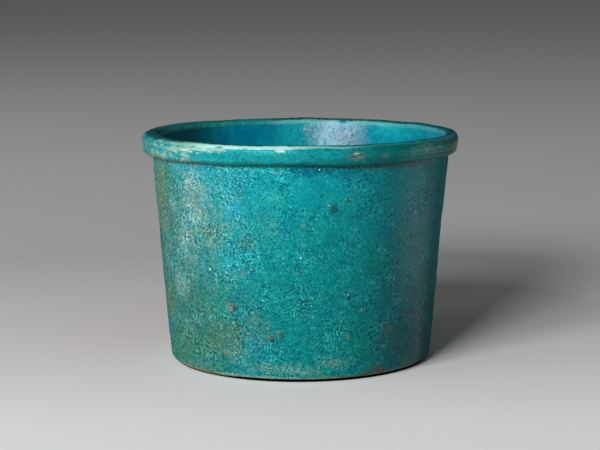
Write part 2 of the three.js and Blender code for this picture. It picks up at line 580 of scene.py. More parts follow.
class Net:
    """Short hands for one material's nodes. Sizes of textures are in millimetres."""

    def __init__(self, tree):
        self.tree = tree

    def node(self, kind, settings, values):
        made = self.tree.nodes.new(kind)
        for name, value in settings.items():
            setattr(made, name, value)
        for key, value in values.items():
            if isinstance(value, bpy.types.NodeSocket):
                self.tree.links.new(value, made.inputs[key])
            elif value is not None:
                made.inputs[key].default_value = value
        return made

    def math(self, operation, a, b=None, c=None):
        return self.node("ShaderNodeMath", {"operation": operation}, {0: a, 1: b, 2: c}).outputs[0]

    def mix(self, share, a, b, blend="MIX"):
        settings = {"data_type": "RGBA", "blend_type": blend, "clamp_factor": True}
        return self.node("ShaderNodeMix", settings, {0: share, 6: a, 7: b}).outputs[2]

    def between(self, value, low, high, to_low=0.0, to_high=1.0):
        """A soft step that is to_low where value is low and to_high where it is high."""
        settings = {"interpolation_type": "SMOOTHSTEP"}
        values = {"Value": value, 1: low, 2: high, 3: to_low, 4: to_high}
        return self.node("ShaderNodeMapRange", settings, values).outputs[0]

    def noise(self, where, size, detail=2.0, roughness=0.5):
        values = {"Vector": where, "Scale": 1 / size, "Detail": detail, "Roughness": roughness}
        return self.node("ShaderNodeTexNoise", {}, values).outputs[0]

    def spots(self, where, size):
        """Distance to the nearest spot, in sizes, and that spot's own random number."""
        made = self.node("ShaderNodeTexVoronoi", {}, {"Vector": where, "Scale": 1 / size})
        chance = self.node("ShaderNodeSeparateColor", {}, {0: made.outputs["Color"]})
        return made.outputs["Distance"], chance.outputs[0]

    def times(self, value, *others):
        for other in others:
            value = self.math("MULTIPLY", value, other)
        return value

    def without(self, value, taken, share=1.0):
        """The value, less where the other one is high."""
        return self.math("MULTIPLY", value, self.math("MULTIPLY_ADD", taken, -share, 1.0))

    def gamma(self, colour, power):
        return self.node("ShaderNodeGamma", {}, {"Color": colour, "Gamma": power}).outputs[0]

    def scaled(self, vector, share):
        values = {0: vector, "Scale": share}
        return self.node("ShaderNodeVectorMath", {"operation": "SCALE"}, values).outputs[0]

    def stretched(self, vector, shares):
        """The place with each of its parts scaled by its own share. A small share gives long marks."""
        return self.node("ShaderNodeMapping", {}, {"Vector": vector, "Scale": shares}).outputs[0]


def new_material(name):
    material = bpy.data.materials.new(name)
    material.use_nodes = True
    shader = material.node_tree.nodes["Principled BSDF"]
    return material, Net(material.node_tree), shader


def rgb(red, green, blue):
    return (red, green, blue, 1)


def whereabouts(net):
    """Place on the cup as it was turned, in millimetres, then its turn in degrees from the front, its
    level and its distance from the axis."""
    kept = net.node("ShaderNodeAttribute", {"attribute_name": "as_turned"}, {}).outputs["Vector"]
    place = net.scaled(kept, 1 / MM)
    parts = net.node("ShaderNodeSeparateXYZ", {}, {0: place}).outputs
    toward_front = net.math("MULTIPLY", parts[1], -1.0)
    turn = net.math("DEGREES", net.math("ARCTAN2", parts[0], toward_front))
    across = net.math("ADD", net.math("POWER", parts[0], 2.0), net.math("POWER", parts[1], 2.0))
    return place, turn, parts[2], net.math("SQRT", across)


def patch_group():
    """A ragged patch on the cup: 1 in its middle, 0 outside."""
    tree = bpy.data.node_groups.new("patch", "ShaderNodeTree")
    names = ["Turn", "Level", "Grain", "At turn", "At level", "Half turn", "Half level", "Ragged"]
    for name in names:
        tree.interface.new_socket(name, in_out="INPUT", socket_type="NodeSocketFloat")
    tree.interface.new_socket("Mask", in_out="OUTPUT", socket_type="NodeSocketFloat")
    net = Net(tree)
    given = net.node("NodeGroupInput", {}, {}).outputs
    aside = net.math("SUBTRACT", given["Turn"], given["At turn"])
    aside = net.math("WRAP", aside, 180.0, -180.0)
    aside = net.math("DIVIDE", aside, given["Half turn"])
    above = net.math("SUBTRACT", given["Level"], given["At level"])
    above = net.math("DIVIDE", above, given["Half level"])
    away = net.math("ADD", net.math("POWER", aside, 2.0), net.math("POWER", above, 2.0))
    away = net.math("SQRT", away)
    rough = net.math("MULTIPLY", net.math("SUBTRACT", given["Grain"], 0.5), given["Ragged"])
    mask = net.between(net.math("ADD", away, rough), 0.45, 1.3, 1.0, 0.0)
    net.node("NodeGroupOutput", {}, {0: mask})
    return tree


PATCH = patch_group()


class Surface:
    """What every layer of the cup's finish reads: where it is and how weathering broke it up."""

    def __init__(self, net):
        self.net = net
        self.place, self.turn, self.level, self.radius = whereabouts(net)
        self.break_up = net.noise(self.place, 3.2, 5.0, 0.68)
        self.flecks = net.noise(self.place, 1.6, 3.0, 0.65)
        self.grain = net.noise(self.place, 1.1, 2.5, 0.65)
        self.points = net.noise(self.place, 0.50, 1.0, 0.6)
        self.streaks = net.noise(net.stretched(self.place, (1, 1, 0.35)), 1.7, 4.0, 0.7)
        middle = net.math("MULTIPLY_ADD", self.level, WALL_SLOPE, WALL_MIDDLE)
        self.inside = net.between(net.math("SUBTRACT", middle, self.radius), -0.4, 0.4)
        self.outside = net.math("SUBTRACT", 1.0, self.inside)
        above = net.between(self.level, WALL_FINISH_TOP, COLLAR_FINISH)
        self.collar = net.times(self.outside, above)
        below = net.between(self.level, COLLAR_FINISH, WALL_FINISH_TOP)
        self.wall = net.times(self.outside, below)

    def patch(self, turn, level, half_turn, half_level, ragged=3.0, edge=None):
        """The mask of one ragged patch. Its edge follows the broken noise, or another one if given."""
        values = {"Turn": self.turn, "Level": self.level, "Grain": edge or self.break_up}
        values.update({"At turn": turn, "At level": level})
        values.update({"Half turn": half_turn, "Half level": half_level, "Ragged": ragged})
        return self.net.node("ShaderNodeGroup", {"node_tree": PATCH}, values).outputs[0]

    def patched(self, colour, where, patches, ragged=3.0, edge=None):
        """Lays ragged patches of (turn, level, half turn, half level, strength, colour) on one side."""
        net = self.net
        for turn, level, half_turn, half_level, strength, shade in patches:
            mask = self.patch(turn, level, half_turn, half_level, ragged, edge)
            colour = net.mix(net.times(mask, where, strength), colour, shade)
        return colour

    def strewn(self, colour, shade, places, ragged=2.0, edge=None):
        """Lays small marks of one colour on the outside, each given as its turn, level, half turn, half
        level and strength. They share one mix, because the renderer has a limit on a shader's size."""
        net = self.net
        cover = 0.0
        for turn, level, half_turn, half_level, strength in places:
            mask = self.patch(turn, level, half_turn, half_level, ragged, edge or self.grain)
            cover = net.math("MAXIMUM", net.math("MULTIPLY", mask, strength), cover)
        return net.mix(net.times(self.outside, cover), colour, shade)


def glaze_material():
    """The glaze's colour in layers, from the clean glaze to its smallest marks, then its gloss and its
    fine relief. It is rougher where it is weathered, on the rubbed edges and darkened crown of the lip,
    and towards the sides of the wall."""
    material, net, shader = new_material("turquoise_glaze")
    surface = Surface(net)
    colour = copper_glaze(surface)
    colour, bleach_and_sheen = weathered(surface, colour)
    colour = stained(surface, colour)
    colour = foot_crust(surface, colour)
    colour = collar_glaze(surface, colour)
    colour = inside_glaze(surface, colour)
    colour, lip_rub_and_painted_light = worn_lip(surface, colour)
    colour = grained(surface, colour, lip_rub_and_painted_light)
    colour = scattered(surface, colour)
    colour = marks(surface, colour)
    # Painted shadow: the glaze's lowest edge is near black where the foot stands off the table.
    gap = net.times(net.between(surface.level, 0.78, 0.62), off_table(surface))
    colour = net.mix(gap, colour, rgb(0.002, 0.004, 0.003))
    net.tree.links.new(colour, shader.inputs["Base Color"])
    rough = net.math("MULTIPLY_ADD", surface.grain, 0.22, 0.18)
    rough = net.math("MULTIPLY_ADD", net.math("MAXIMUM", bleach_and_sheen, lip_rub_and_painted_light), 0.45, rough)
    limbs = net.between(net.math("ABSOLUTE", surface.turn), 56, 70, 0.0, 0.40)
    rough = net.math("ADD", rough, net.times(limbs, surface.wall))
    net.tree.links.new(rough, shader.inputs["Roughness"])
    shader.inputs["IOR"].default_value = 1.5
    shader.inputs["Specular Tint"].default_value = rgb(0.14, 0.8, 0.9)
    swell = net.noise(surface.place, 2.6, 3.0, 0.6)
    height = net.math("MULTIPLY_ADD", swell, 1.6, surface.grain)
    height = net.math("MULTIPLY_ADD", surface.points, 0.6, height)
    bump = net.node("ShaderNodeBump", {}, {"Strength": 1.0, "Distance": 0.10 * MM, "Height": height})
    net.tree.links.new(bump.outputs[0], shader.inputs["Normal"])
    return material


def copper_glaze(surface):
    """Copper glaze: bluer towards the collar, greener and darker lower down, dull and green at the
    left, with painted shade along its left edge and over the right, and clouded with bluer drifts and
    darker and paler clots."""
    net = surface.net
    higher = net.between(surface.level, 46, 72)
    colour = net.mix(higher, rgb(0.002, 0.300, 0.290), rgb(0.001, 0.355, 0.400))
    colour = net.mix(net.between(surface.level, 48, 26), colour, rgb(0.002, 0.245, 0.232))
    seen_left = net.between(surface.turn, -155, -110)
    seen_right = net.between(surface.turn, 120, 76)
    left = net.between(surface.turn, -18, -48, 0.0, 0.75)
    left = net.times(left, net.between(surface.level, 74, 56, 0.3, 1.0), seen_left)
    colour = net.mix(left, colour, rgb(0.008, 0.175, 0.140))
    # Painted shade along the left edge of the wall.
    limb = net.between(surface.turn, -54, -70, 0.0, 0.6)
    limb = net.times(limb, net.between(surface.turn, -115, -85))
    colour = net.mix(limb, colour, rgb(0.004, 0.120, 0.090))
    low_left = net.between(surface.turn, -8, -38)
    low_left = net.times(low_left, net.between(surface.level, 42, 14, 0.0, 0.85), seen_left)
    colour = net.mix(low_left, colour, rgb(0.003, 0.150, 0.105))
    # Painted shade: the right of the wall is darkened, most of all low down, where the lamps reach
    # less.
    right = net.mix(net.between(surface.level, 48, 66), rgb(0.0, 0.110, 0.125), rgb(0.0, 0.145, 0.160))
    colour = net.mix(net.times(net.between(surface.turn, 10, 42, 0.0, 0.72), seen_right), colour, right)
    low_right = net.between(surface.turn, 26, 52, 0.0, 0.7)
    low_right = net.times(low_right, net.between(surface.level, 44, 12), seen_right)
    colour = net.mix(low_right, colour, rgb(0.0, 0.050, 0.055))
    drift = net.noise(surface.place, 22, 2.0, 0.55)
    colour = net.mix(net.between(drift, 0.56, 0.36, 0.0, 0.35), colour, rgb(0.002, 0.24, 0.30))
    clots = net.noise(surface.place, 6.0, 4.0, 0.65)
    colour = net.mix(net.between(clots, 0.52, 0.34, 0.0, 0.45), colour, rgb(0.001, 0.16, 0.19))
    return net.mix(net.between(clots, 0.52, 0.70, 0.0, 0.35), colour, rgb(0.020, 0.42, 0.38))


def weathered(surface, colour):
    """The left of the wall is bleached: soft chalky clouds and streaks that run down it, greyish,
    yellowish or bluish by turns. Elsewhere only a trace of it is left. Three patches high on the left
    add a painted sheen to it, the soft reflection of the lamps."""
    net = surface.net
    left = net.between(surface.turn, -10, -46, 0.012, 0.48)
    left = net.times(left, net.between(surface.turn, -130, -100))
    down = net.stretched(surface.place, (1, 1, 0.4))
    streaks = net.between(net.noise(down, 3.4, 4.0, 0.65), 0.38, 0.62, 0.30, 1.35)
    bleach_and_sheen = net.times(left, streaks, net.between(surface.level, 22, 60, 0.30, 0.9))
    bleach_and_sheen = net.times(bleach_and_sheen, net.between(surface.turn, -74, -54, 0.55, 1.0))
    bleach_and_sheen = net.times(bleach_and_sheen, net.between(surface.level, 61, 70, 1.0, 0.5))
    # The first three patches, high on the left, are a painted sheen laid on with the bleaching.
    for turn, level, half_turn, half_level, amount in (
        (-44, 70, 6, 6, 0.62), (-44, 63, 6, 6, 0.36), (-43, 56, 6, 5, 0.26),
        (-50, 47, 5, 8, 0.25), (-57, 31, 5, 5, 0.60),
    ):
        mask = surface.patch(turn, level, half_turn, half_level)
        bleach_and_sheen = net.math("MULTIPLY_ADD", mask, amount, bleach_and_sheen)
    bleach_and_sheen = net.math("MINIMUM", net.times(bleach_and_sheen, surface.wall), 1.0)
    one = net.noise(surface.place, 2.6, 3.0, 0.6)
    other = net.noise(surface.place, 3.3, 3.0, 0.6)
    chalk = net.mix(net.between(one, 0.42, 0.58), rgb(0.28, 0.56, 0.52), rgb(0.40, 0.45, 0.41))
    chalk = net.mix(net.between(other, 0.52, 0.62, 0.0, 0.7), chalk, rgb(0.34, 0.40, 0.20))
    chalk = net.mix(net.between(other, 0.47, 0.38, 0.0, 0.7), chalk, rgb(0.12, 0.42, 0.52))
    mixed = net.math("MULTIPLY_ADD", surface.grain, 0.55, net.times(surface.break_up, 0.45))
    cover = net.times(bleach_and_sheen, net.between(mixed, 0.36, 0.66, 0.25, 0.95))
    return net.mix(cover, colour, chalk), bleach_and_sheen


def stained(surface, colour):
    """Earth stains, olive, brown and tan, mostly on the left, pools of bluer glaze, streaks that run
    down the left edge, a grey painted sheen down the right, and dirt gathered under the collar at the
    right, deepened there as painted shade in the crease."""
    net = surface.net
    olive = rgb(0.10, 0.17, 0.07)
    moss = rgb(0.03, 0.16, 0.09)
    tan = rgb(0.27, 0.23, 0.13)
    brown = rgb(0.07, 0.13, 0.09)
    sheen_grey = rgb(0.05, 0.12, 0.13)
    colour = surface.patched(colour, surface.wall, (
        (-80, 44, 8, 8, 0.60, rgb(0.01, 0.12, 0.09)), (-35, 52, 5, 3.5, 0.45, brown),
        (-22, 48, 4, 2.6, 0.55, brown), (-54, 9, 15, 9, 0.60, moss), (-32, 16, 11, 5, 0.40, olive),
        (-38, 11.5, 6, 2.4, 0.25, rgb(0.13, 0.18, 0.09)), (-70, 24, 7, 8, 0.40, rgb(0.16, 0.19, 0.12)),
        (-17, 18, 6, 7, 0.28, rgb(0.11, 0.19, 0.09)), (-30, 9.5, 3.5, 1.6, 0.30, tan),
        (-26, 12, 5, 4, 0.35, rgb(0.11, 0.19, 0.07)), (-47, 26, 9, 7, 0.35, rgb(0.04, 0.15, 0.09)),
        # The grey patch at 48 degrees is a painted sheen down the right of the wall.
        (39, 17, 5, 4, 0.30, brown), (48, 50, 9, 24, 0.35, sheen_grey),
    ))
    colour = surface.patched(colour, surface.wall, (
        (-46, 73.6, 7, 1.8, 0.60, rgb(0.0, 0.28, 0.40)),
        (-36, 72.6, 6, 1.6, 0.50, rgb(0.0, 0.31, 0.42)),
        (-26, 60, 4, 3.5, 0.55, rgb(0.003, 0.33, 0.46)), (-25, 46, 6, 4, 0.50, rgb(0.0, 0.27, 0.36)),
        (-29, 42, 6, 4, 0.45, rgb(0.02, 0.35, 0.43)), (-14, 12, 12, 6, 0.40, rgb(0.0, 0.22, 0.26)),
        (4, 73.8, 8, 2.0, 0.65, rgb(0.0, 0.10, 0.20)), (16, 73, 8, 2.2, 0.45, rgb(0.0, 0.20, 0.29)),
        (7, 50, 9, 5, 0.30, rgb(0.0, 0.20, 0.21)), (-10, 65, 5, 3, 0.35, rgb(0.04, 0.42, 0.34)),
        (-12, 54, 5, 6, 0.25, rgb(0.07, 0.38, 0.30)),
    ))
    colour = surface.patched(colour, surface.wall, (
        (-67, 63, 8, 14, 0.55, olive), (-69, 58, 8, 18, 0.38, rgb(0.21, 0.24, 0.13)),
        (-58, 68, 4, 7, 0.60, rgb(0.01, 0.20, 0.12)), (-62, 55, 3, 12, 0.40, rgb(0.02, 0.17, 0.12)),
        (-54, 66, 3, 8, 0.30, rgb(0.10, 0.22, 0.12)),
    ), 6.0, surface.streaks)
    # Dirt under the collar at the right, deepened as painted shade in the crease.
    mottled = net.between(surface.flecks, 0.38, 0.58, 0.35, 0.9)
    soil_and_shade = net.times(surface.patch(40, 75.0, 24, 1.3, 2.5), surface.outside, mottled)
    return net.mix(soil_and_shade, colour, rgb(0.095, 0.070, 0.078))


def off_table(surface):
    """Where the foot's edge stands off the table, with a painted shadow in the gap beneath it: all
    round but at the left.
    """
    net = surface.net
    front = net.between(surface.turn, -66, -56)
    return net.math("MAXIMUM", front, net.between(surface.turn, -110, -130))


def foot_crust(surface, colour):
    """Along the foot lies a pale crust. The glaze ends in a thin edge, pale green at the front, olive
    at the right and yellowish at the left, and at the right it has come off down to brown paste. At the
    left its lowest edge is darkened as painted shade where it meets the table."""
    net = surface.net
    crust = rgb(0.13, 0.33, 0.25)
    colour = surface.patched(colour, surface.wall, (
        (-12, 5.0, 12, 2.2, 0.55, crust), (14, 6.6, 6, 2.2, 0.50, crust), (2, 4.0, 8, 1.6, 0.4, crust),
    ), 4.0, surface.flecks)
    wavy = net.math("MULTIPLY_ADD", net.math("SUBTRACT", surface.break_up, 0.5), 2.2, surface.level)
    edge = net.times(net.between(wavy, 2.3, 1.5), surface.wall)
    green = net.times(edge, net.between(surface.turn, 46, 34), net.between(surface.turn, -70, -58))
    thin = net.between(surface.turn, -40, -28, 0.65, 0.40)
    green = net.times(green, net.between(surface.flecks, 0.40, 0.58, thin, 0.9))
    tint = net.mix(net.between(surface.turn, 2, 24), rgb(0.26, 0.44, 0.31), rgb(0.110, 0.135, 0.065))
    tint = net.mix(net.between(surface.turn, -32, -42), tint, rgb(0.17, 0.22, 0.07))
    colour = net.mix(green, colour, tint)
    # Painted shade along the left of the foot, where it stands on the table.
    left = net.times(net.between(wavy, 1.2, 0.7), net.between(surface.turn, -28, -34), surface.wall)
    colour = net.mix(net.times(left, 0.8), colour, rgb(0.05, 0.035, 0.015))
    return surface.patched(colour, surface.wall, (
        (35.5, 2.2, 4.5, 1.1, 0.95, rgb(0.12, 0.055, 0.014)),
        (30, 2.0, 4.0, 0.9, 0.80, rgb(0.10, 0.08, 0.025)),
        (33, 4.2, 3.0, 1.0, 0.60, rgb(0.07, 0.075, 0.04)),
    ), 2.5, surface.flecks)


def collar_glaze(surface, colour):
    """The collar is smoother and clouded: cream and yellow-green at the left, with a partly painted
    highlight along its top edge there, dark green at the right, painted shade low on its front right
    and a painted shadow under its lower edge."""
    net = surface.net
    colour = net.mix(net.times(surface.collar, 0.75), colour, rgb(0.003, 0.325, 0.350))
    along = net.stretched(surface.place, (0.55, 0.55, 1.7))
    cloud = net.noise(along, 3.4, 4.0, 0.65)
    smear = net.noise(along, 1.7, 3.0, 0.65)
    left = net.between(surface.turn, -30, -46, 0.03, 0.85)
    left = net.times(left, net.between(surface.turn, -72, -58, 0.25, 1.0))
    pale = net.times(net.between(cloud, 0.44, 0.60), left, surface.collar)
    tint = net.mix(net.between(smear, 0.44, 0.56), rgb(0.17, 0.34, 0.14), rgb(0.34, 0.56, 0.44))
    colour = net.mix(pale, colour, tint)
    deep = net.times(net.between(cloud, 0.50, 0.36), surface.collar)
    colour = net.mix(net.times(deep, 0.4), colour, rgb(0.0, 0.25, 0.24))
    seen = net.between(surface.turn, 130, 86)
    right = net.times(net.between(surface.turn, 6, 36), surface.collar, seen)
    colour = net.mix(net.times(right, 0.8), colour, rgb(0.001, 0.155, 0.125))
    tip = net.times(net.between(surface.turn, 44, 58, 0.0, 0.7), surface.collar, seen)
    colour = net.mix(tip, colour, rgb(0.030, 0.215, 0.190))
    # The two pale patches at the left lie on the collar's top edge and are partly a painted highlight.
    colour = surface.patched(colour, surface.collar, (
        (-33, 80.9, 6, 0.9, 0.75, rgb(0.50, 0.72, 0.60)),
        (-46, 80.2, 8, 0.9, 0.60, rgb(0.45, 0.66, 0.50)),
        (50, 80.0, 8, 1.4, 0.60, rgb(0.16, 0.36, 0.32)),
        (-7, 80.3, 4, 0.7, 0.50, rgb(0.10, 0.46, 0.40)),
    ), 4.0, smear)
    # Painted shadow under the collar's lower edge, olive at the far left.
    wavy = net.math("MULTIPLY_ADD", net.math("SUBTRACT", surface.break_up, 0.5), 1.8, surface.level)
    under = net.times(net.between(wavy, 77.6, 76.0), net.between(wavy, 74.6, 75.3), surface.outside)
    far_left = net.between(surface.turn, -38, -50)
    shade = net.mix(far_left, rgb(0.003, 0.090, 0.070), rgb(0.055, 0.090, 0.055))
    colour = net.mix(net.times(under, 0.8), colour, shade)
    # Painted shade on the lower part of the collar at the front right, where it rounds under.
    low = net.between(surface.level, 79.4, 76.6)
    low = net.times(low, net.between(surface.turn, -8, 16, 0.0, 0.6), surface.collar)
    return net.mix(net.times(low, seen), colour, rgb(0.0, 0.110, 0.105))


def inside_glaze(surface, colour):
    """Inside, the glaze is deeper: dark green at the left, darkened there as painted shade, then runs
    of blue, and a lilac bloom with dark specks on the far wall."""
    net = surface.net
    thick = net.between(net.noise(surface.place, 7, 3.0, 0.6), 0.40, 0.60)
    shade = net.mix(thick, rgb(0.001, 0.25, 0.38), rgb(0.003, 0.34, 0.38))
    colour = net.mix(net.times(surface.inside, 0.95), colour, shade)
    # Painted shade over the inside at the left, which the near wall hides from the lamps.
    shaded = net.between(surface.turn, -151, -122)
    shaded = net.times(shaded, net.between(surface.turn, -40, -90), surface.inside)
    colour = net.mix(net.times(shaded, 0.88), colour, rgb(0.0, 0.085, 0.088))
    colour = surface.patched(colour, surface.inside, (
        (-153, 72, 12, 16, 0.45, rgb(0.001, 0.22, 0.42)),
        (-175, 74, 6, 18, 0.65, rgb(0.01, 0.46, 0.54)),
        (174, 76, 5, 16, 0.55, rgb(0.20, 0.46, 0.52)),
        (165, 77, 10, 15, 0.90, rgb(0.43, 0.54, 0.66)),
        (154, 75, 4, 15, 0.50, rgb(0.26, 0.50, 0.60)),
        (138, 72, 13, 18, 0.65, rgb(0.004, 0.43, 0.54)),
    ))
    speckled = net.times(surface.patch(166, 73, 13, 20, 2.0), surface.inside)
    speckled = net.times(speckled, net.between(surface.grain, 0.48, 0.36, 0.0, 0.65))
    return net.mix(speckled, colour, rgb(0.01, 0.20, 0.34))


def worn_lip(surface, colour):
    """The crown of the lip is darkened as painted shade, paler at the back left. Both its edges are
    rubbed: the inner one pale green, broken at the back left, and the outer one nearly white at the
    front, yellower at the left and fading at the right, and both rubs carry a painted highlight. Just
    inside the lip at the back left a band is lightened as painted light."""
    net = surface.net
    drift = net.math("SUBTRACT", surface.break_up, 0.5)
    level = net.math("MULTIPLY_ADD", drift, 0.9, surface.level)
    radius = net.math("MULTIPLY_ADD", drift, 0.7, surface.radius)
    shaded = net.times(net.between(surface.turn, -172, -160), net.between(surface.turn, -80, -105))
    # Painted light on a band just inside the lip at the back left, which faces up to the lamps.
    band = net.times(shaded, net.between(surface.level, 80.0, 81.2), surface.inside)
    colour = net.mix(net.times(band, 0.80), colour, rgb(0.002, 0.35, 0.33))
    # Painted shade: the crown of the lip is darkened all round, less at the back left.
    crown = net.times(net.between(radius, 52.0, 52.35), net.between(radius, 56.4, 55.9))
    crown = net.times(crown, net.between(surface.level, 81.7, 82.0))
    front = net.between(net.math("ABSOLUTE", surface.turn), 100, 70)
    soil_and_shade = net.mix(front, rgb(0.001, 0.080, 0.080), rgb(0.0, 0.110, 0.125))
    back_left = net.times(net.between(surface.turn, -176, -160), net.between(surface.turn, -92, -112))
    line = net.between(radius, 54.6, 55.4)
    soil_and_shade = net.mix(back_left, soil_and_shade, net.mix(line, rgb(0.012, 0.230, 0.205), rgb(0.0, 0.080, 0.080)))
    patchy = net.between(surface.flecks, 0.40, 0.58, 0.75, 0.95)
    colour = net.mix(net.times(crown, patchy), colour, soil_and_shade)
    # The rubbed inner edge is pale from wear and partly a painted highlight.
    inner = net.times(net.between(radius, 51.35, 51.7), net.between(radius, 52.35, 52.05))
    inner = net.times(inner, net.between(surface.level, 80.2, 81.0), surface.inside)
    broken = net.between(surface.flecks, 0.44, 0.56)
    inner = net.without(inner, net.times(shaded, net.math("SUBTRACT", 1.0, broken)), 0.95)
    inner = net.times(inner, net.math("MULTIPLY_ADD", shaded, -0.4, 0.70))
    right = net.times(net.between(surface.turn, 150, 128), net.between(surface.turn, 60, 80))
    inner = net.without(inner, right, 0.6)
    colour = net.mix(inner, colour, rgb(0.20, 0.58, 0.54))
    notch = net.times(surface.patch(162, 81.6, 1.9, 1.3, 1.0), surface.inside)
    colour = net.mix(net.times(notch, 0.9), colour, rgb(0.0, 0.15, 0.25))
    # The rubbed outer edge, nearly white at the front, is partly a painted highlight, and so is the
    # near-white blob at -6.6 degrees below.
    low = net.between(surface.turn, -4, 8, 81.35, 81.70)
    low = net.math("ADD", low, net.between(surface.turn, 14, 22, 0.0, 0.25))
    strip = net.between(net.math("SUBTRACT", level, low), -0.10, 0.30)
    strip = net.times(strip, net.between(level, 82.56, 82.40))
    strip = net.times(strip, net.between(surface.radius, 54.8, 55.3))
    fading = net.between(surface.turn, -64, -32)
    strip = net.times(strip, fading, net.between(surface.turn, 14, 24, 1.0, 0.55))
    strip = net.times(strip, net.between(surface.turn, 150, 100))
    tint = net.mix(net.between(surface.turn, -6, 8), rgb(0.52, 0.94, 0.88), rgb(0.22, 0.66, 0.60))
    tint = net.mix(net.between(surface.turn, 14, 26), tint, rgb(0.07, 0.46, 0.46))
    tint = net.mix(net.between(surface.turn, -30, -44), tint, rgb(0.38, 0.66, 0.52))
    colour = net.mix(strip, colour, tint)
    colour = surface.patched(colour, surface.outside, (
        (-28.5, 81.8, 1.6, 0.30, 0.90, rgb(0.0, 0.30, 0.32)),
        (-19, 81.7, 1.0, 0.25, 0.50, rgb(0.05, 0.40, 0.38)),
        (-6.6, 81.1, 1.8, 0.55, 0.85, rgb(0.75, 0.92, 0.85)),
    ), 1.0)
    return colour, net.math("MAXIMUM", strip, crown)


def grained(surface, colour, lip_rub_and_painted_light):
    """The coarse quartz body shows through the glaze as a fine grain, strongest where the glaze is
    weathered and nearly gone where it ran thick. It lightens and darkens by eye, so it is added to
    the colour's tone and not to its light."""
    net = surface.net
    clumps = net.between(net.noise(surface.place, 9, 2.0, 0.5), 0.38, 0.62, 0.60, 1.20)
    swing = net.times(net.between(surface.turn, -8, 38, 1.0, 0.72), clumps)
    swing = net.times(swing, net.between(surface.turn, 38, 58, 1.0, 1.6))
    swing = net.without(swing, surface.patch(6, 66, 13, 8), 0.55)
    swing = net.without(swing, surface.collar, 0.45)
    swing = net.without(swing, surface.inside, 0.70)
    swing = net.without(swing, lip_rub_and_painted_light, 0.75)
    share = net.times(net.math("SUBTRACT", surface.points, 0.5), 0.90)
    share = net.math("MULTIPLY_ADD", net.math("SUBTRACT", surface.grain, 0.5), 0.50, share)
    away, chance = net.spots(surface.place, 0.95)
    speck = net.between(away, 0.42, 0.20)
    share = net.math("MULTIPLY_ADD", net.times(speck, net.between(chance, 0.86, 0.90)), 0.17, share)
    share = net.math("MULTIPLY_ADD", net.times(speck, net.between(chance, 0.12, 0.08)), -0.14, share)
    tone = net.gamma(colour, 1 / 2.2)
    changed = {0: tone, 1: net.times(share, swing)}
    tone = net.node("ShaderNodeVectorMath", {"operation": "ADD"}, changed).outputs[0]
    least = {0: tone, 1: (0.03, 0.03, 0.03)}
    tone = net.node("ShaderNodeVectorMath", {"operation": "MAXIMUM"}, least).outputs[0]
    return net.gamma(tone, 2.2)


def scattered(surface, colour):
    """Small brown, dark and pale spots strewn over the whole wall."""
    net = surface.net
    away, chance = net.spots(surface.place, 6.5)
    away = net.math("MULTIPLY_ADD", net.math("SUBTRACT", surface.grain, 0.5), 0.5, away)
    spot = net.times(net.between(away, 0.12, 0.05), surface.wall)
    for low, high, shade in (
        (0.00, 0.06, rgb(0.055, 0.12, 0.08)), (0.06, 0.14, rgb(0.01, 0.05, 0.05)),
        (0.14, 0.19, rgb(0.16, 0.40, 0.36)), (0.19, 0.24, rgb(0.14, 0.20, 0.07)),
    ):
        chosen = net.times(net.math("GREATER_THAN", chance, low), net.math("LESS_THAN", chance, high))
        colour = net.mix(net.times(spot, chosen, 0.6), colour, shade)
    return colour


def chipped(surface, colour, cores):
    """Pits and bumps: a painted shadow under their lower right, a broken core and a painted
    glint at their upper left.
    """
    net = surface.net
    painted_shadows = []
    painted_glints = []
    for (turn, level, size, rise), core in cores:
        wide = math.degrees(size / NECK_RADIUS)
        painted_shadows.append((turn + wide * 0.5, level - size * 0.5, wide * 1.1, size * 0.9, 0.8))
        painted_glints.append((turn - wide * 0.5, level + size * 0.45, wide * 0.25, size * 0.2, 0.55))
    colour = surface.strewn(colour, rgb(0.003, 0.040, 0.045), painted_shadows, 3.0, surface.flecks)
    for (turn, level, size, rise), core in cores:
        wide = math.degrees(size / NECK_RADIUS)
        body = surface.patch(turn, level, wide * 0.9, size * 0.7, 8.0, surface.grain)
        colour = net.mix(net.times(body, surface.outside, 0.85), colour, core)
    return surface.strewn(colour, rgb(0.60, 0.74, 0.62), painted_glints, 3.0)


def scratched(surface, colour):
    """A small blue hollow under the collar with a pale curved scratch below it."""
    net = surface.net
    bowl = surface.patch(-8.2, 74.2, 1.5, 0.9, 0.8)
    rim = net.without(surface.patch(-8.2, 73.8, 2.2, 1.2, 0.8), bowl)
    colour = net.mix(net.times(bowl, surface.outside, 0.5), colour, rgb(0.0, 0.16, 0.26))
    return net.mix(net.times(rim, surface.outside, 0.55), colour, rgb(0.22, 0.52, 0.58))


